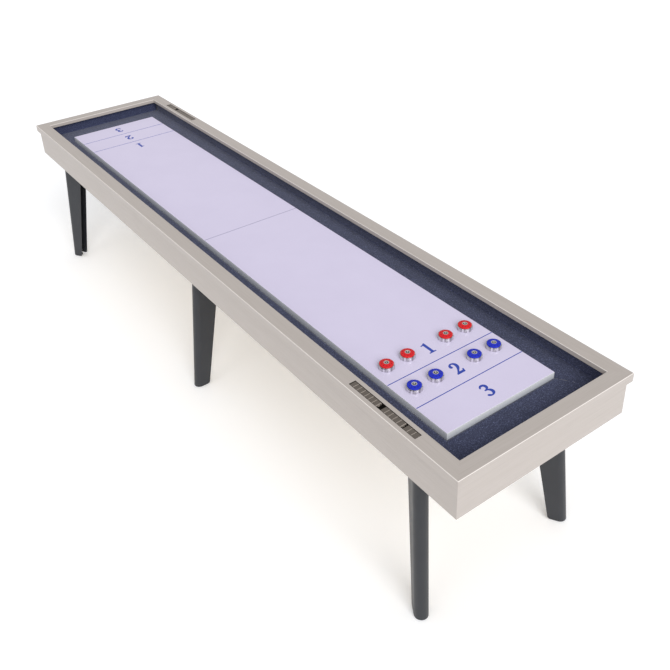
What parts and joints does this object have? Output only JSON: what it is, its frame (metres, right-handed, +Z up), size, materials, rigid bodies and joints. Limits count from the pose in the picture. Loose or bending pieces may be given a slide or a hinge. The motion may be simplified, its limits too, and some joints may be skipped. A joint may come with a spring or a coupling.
{
  "type": "shuffleboard table",
  "caption": "Long shuffleboard table with a raised playfield, carpeted gutters, mitred rails with sliding-tile scorers, splayed channel legs and sliding weights.",
  "frame": {"origin": "on the floor, at the middle of the table's length and width", "axes": "+Z up; +X along the table towards the end where the weights stand; +Y towards the right side"},
  "size_m": [3.658, 0.803, 0.822],
  "materials": {
    "washed_laminate": "pale greige washed-oak laminate, satin",
    "birch_plywood": "sanded plywood, unfinished",
    "pine": "planed softwood, unfinished",
    "playfield_laminate": "pale lavender-white high-pressure laminate, satin",
    "gutter_carpet": "dark slate-blue needle-punched carpet",
    "leg_steel": "charcoal powder coat, satin",
    "zinc_steel": "zinc-plated steel",
    "foot_plastic": "black moulded nylon",
    "tray_plastic": "near-black moulded plastic",
    "tile_plastic": "grey-brown moulded plastic",
    "chromed_steel": "turned steel, chromed",
    "red_plastic": "moulded red plastic",
    "blue_plastic": "moulded blue plastic"
  },
  "bodies": {
    "cabinet": {"cap_rail_left": "washed_laminate", "cap_rail_right": "washed_laminate", "cap_rail_far": "washed_laminate", "cap_rail_near": "washed_laminate", "side_panel_left": "washed_laminate", "side_panel_right": "washed_laminate", "end_panel_far": "washed_laminate", "end_panel_near": "washed_laminate", "deck": "birch_plywood", "playfield": "playfield_laminate", "cross_bearers": "pine", "corner_blocks": "pine", "gutter_carpet_left": "gutter_carpet", "gutter_carpet_right": "gutter_carpet", "gutter_carpet_far": "gutter_carpet", "gutter_carpet_near": "gutter_carpet", "leg_boards": "birch_plywood", "leg_top_plates": "leg_steel", "foot_plates": "leg_steel", "leg_bolts": "zinc_steel", "leg_far_left": "leg_steel", "leg_middle_left": "leg_steel", "leg_near_left": "leg_steel", "leg_far_right": "leg_steel", "leg_middle_right": "leg_steel", "leg_near_right": "leg_steel", "scorer_tray_left": "tray_plastic", "scorer_rods_left": "zinc_steel", "scorer_tray_right": "tray_plastic", "scorer_rods_right": "zinc_steel"},
    "foot_far_left": {"levelling_foot_far_left": "foot_plastic"},
    "foot_middle_left": {"levelling_foot_middle_left": "foot_plastic"},
    "foot_near_left": {"levelling_foot_near_left": "foot_plastic"},
    "foot_far_right": {"levelling_foot_far_right": "foot_plastic"},
    "foot_middle_right": {"levelling_foot_middle_right": "foot_plastic"},
    "foot_near_right": {"levelling_foot_near_right": "foot_plastic"},
    "tiles_left_first": {"scorer_tiles_left_first": "tile_plastic"},
    "tiles_left_middle": {"scorer_tiles_left_middle": "tile_plastic"},
    "tiles_left_last": {"scorer_tiles_left_last": "tile_plastic"},
    "tiles_right_first": {"scorer_tiles_right_first": "tile_plastic"},
    "tiles_right_last": {"scorer_tiles_right_last": "tile_plastic"},
    "puck_red_1": {"weight_red_1": "chromed_steel", "cap_red_1": "red_plastic"},
    "puck_red_2": {"weight_red_2": "chromed_steel", "cap_red_2": "red_plastic"},
    "puck_red_3": {"weight_red_3": "chromed_steel", "cap_red_3": "red_plastic"},
    "puck_red_4": {"weight_red_4": "chromed_steel", "cap_red_4": "red_plastic"},
    "puck_blue_1": {"weight_blue_1": "chromed_steel", "cap_blue_1": "blue_plastic"},
    "puck_blue_2": {"weight_blue_2": "chromed_steel", "cap_blue_2": "blue_plastic"},
    "puck_blue_3": {"weight_blue_3": "chromed_steel", "cap_blue_3": "blue_plastic"},
    "puck_blue_4": {"weight_blue_4": "chromed_steel", "cap_blue_4": "blue_plastic"}
  },
  "joints": [
    {"name": "foot_far_left_screw", "type": "slide", "parent": "cabinet", "child": "foot_far_left", "axis": [0, 0, -1], "range_m": [0, 0.012]},
    {"name": "foot_middle_left_screw", "type": "slide", "parent": "cabinet", "child": "foot_middle_left", "axis": [0, 0, -1], "range_m": [0, 0.012]},
    {"name": "foot_near_left_screw", "type": "slide", "parent": "cabinet", "child": "foot_near_left", "axis": [0, 0, -1], "range_m": [0, 0.012]},
    {"name": "foot_far_right_screw", "type": "slide", "parent": "cabinet", "child": "foot_far_right", "axis": [0, 0, -1], "range_m": [0, 0.012]},
    {"name": "foot_middle_right_screw", "type": "slide", "parent": "cabinet", "child": "foot_middle_right", "axis": [0, 0, -1], "range_m": [0, 0.012]},
    {"name": "foot_near_right_screw", "type": "slide", "parent": "cabinet", "child": "foot_near_right", "axis": [0, 0, -1], "range_m": [0, 0.012]},
    {"name": "tiles_left_first_slide", "type": "slide", "parent": "cabinet", "child": "tiles_left_first", "axis": [1, 0, 0], "range_m": [0, 0.0116]},
    {"name": "tiles_left_middle_slide", "type": "slide", "parent": "cabinet", "child": "tiles_left_middle", "axis": [1, 0, 0], "range_m": [-0.0116, 0.005]},
    {"name": "tiles_left_last_slide", "type": "slide", "parent": "cabinet", "child": "tiles_left_last", "axis": [1, 0, 0], "range_m": [-0.005, 0]},
    {"name": "tiles_right_first_slide", "type": "slide", "parent": "cabinet", "child": "tiles_right_first", "axis": [-1, 0, 0], "range_m": [0, 0.0165]},
    {"name": "tiles_right_last_slide", "type": "slide", "parent": "cabinet", "child": "tiles_right_last", "axis": [1, 0, 0], "range_m": [0, 0.0165]},
    {"name": "puck_red_1_slide", "type": "slide", "parent": "cabinet", "child": "puck_red_1", "axis": [-1, 0, 0], "range_m": [0, 2.82]},
    {"name": "puck_red_2_slide", "type": "slide", "parent": "cabinet", "child": "puck_red_2", "axis": [-1, 0, 0], "range_m": [0, 2.82]},
    {"name": "puck_red_3_slide", "type": "slide", "parent": "cabinet", "child": "puck_red_3", "axis": [-1, 0, 0], "range_m": [0, 2.82]},
    {"name": "puck_red_4_slide", "type": "slide", "parent": "cabinet", "child": "puck_red_4", "axis": [-1, 0, 0], "range_m": [0, 2.82]},
    {"name": "puck_blue_1_slide", "type": "slide", "parent": "cabinet", "child": "puck_blue_1", "axis": [1, 0, 0], "range_m": [-0.08, 0.2]},
    {"name": "puck_blue_2_slide", "type": "slide", "parent": "cabinet", "child": "puck_blue_2", "axis": [1, 0, 0], "range_m": [-0.08, 0.2]},
    {"name": "puck_blue_3_slide", "type": "slide", "parent": "cabinet", "child": "puck_blue_3", "axis": [1, 0, 0], "range_m": [-0.08, 0.2]},
    {"name": "puck_blue_4_slide", "type": "slide", "parent": "cabinet", "child": "puck_blue_4", "axis": [1, 0, 0], "range_m": [-0.08, 0.2]}
  ]
}
